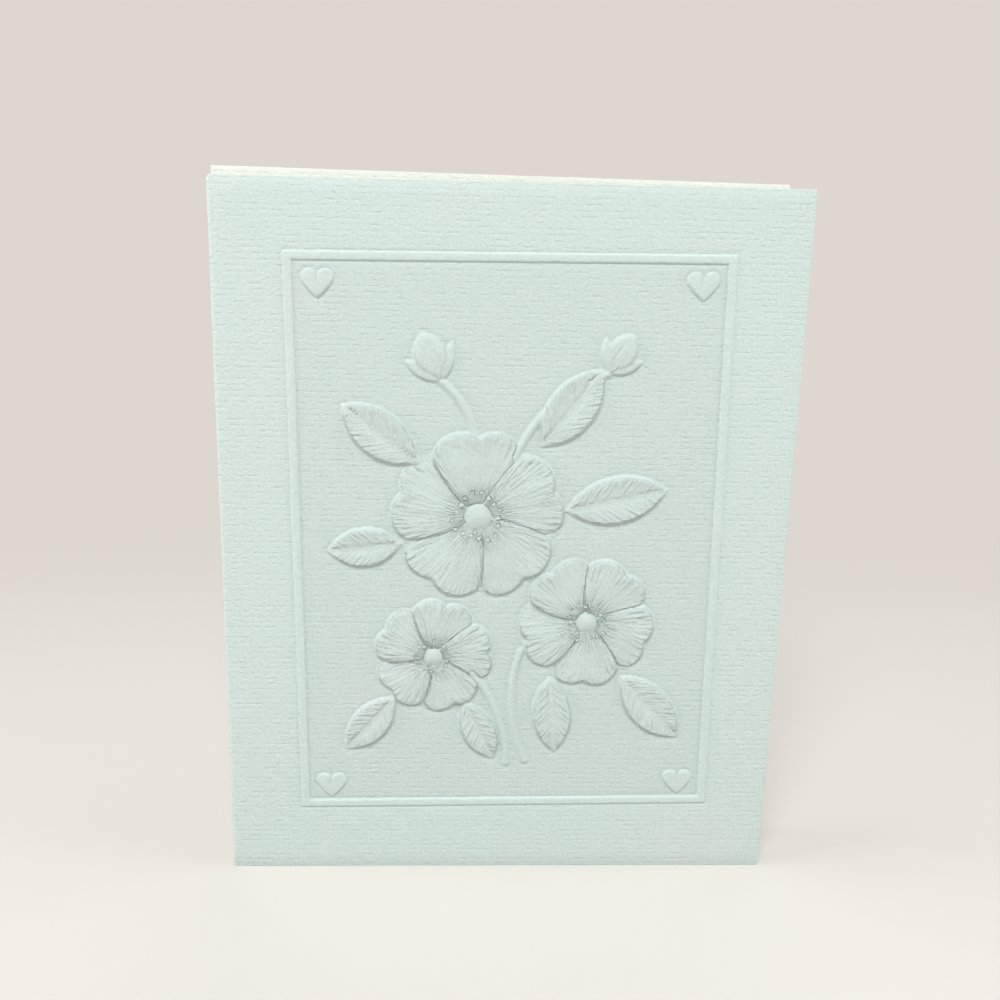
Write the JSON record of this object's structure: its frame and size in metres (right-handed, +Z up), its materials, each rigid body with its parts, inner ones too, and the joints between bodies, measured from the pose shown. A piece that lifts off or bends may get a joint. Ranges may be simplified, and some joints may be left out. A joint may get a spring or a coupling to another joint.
{
  "type": "greeting card",
  "caption": "Single-fold portrait greeting card of white laid card, standing slightly open, with a raised frame, corner hearts and a spray of roses on its front.",
  "frame": {"origin": "centre of the bounding box on the surface the card stands on", "axes": "+Z up along the card's height, +X from the fold to the free edges seen from the front, +Y from the front to the rear leaf"},
  "size_m": [0.1016, 0.0142, 0.1285],
  "materials": {
    "laid_card": "matt"
  },
  "bodies": {
    "root": {"folded_card": "laid_card"}
  },
  "joints": []
}
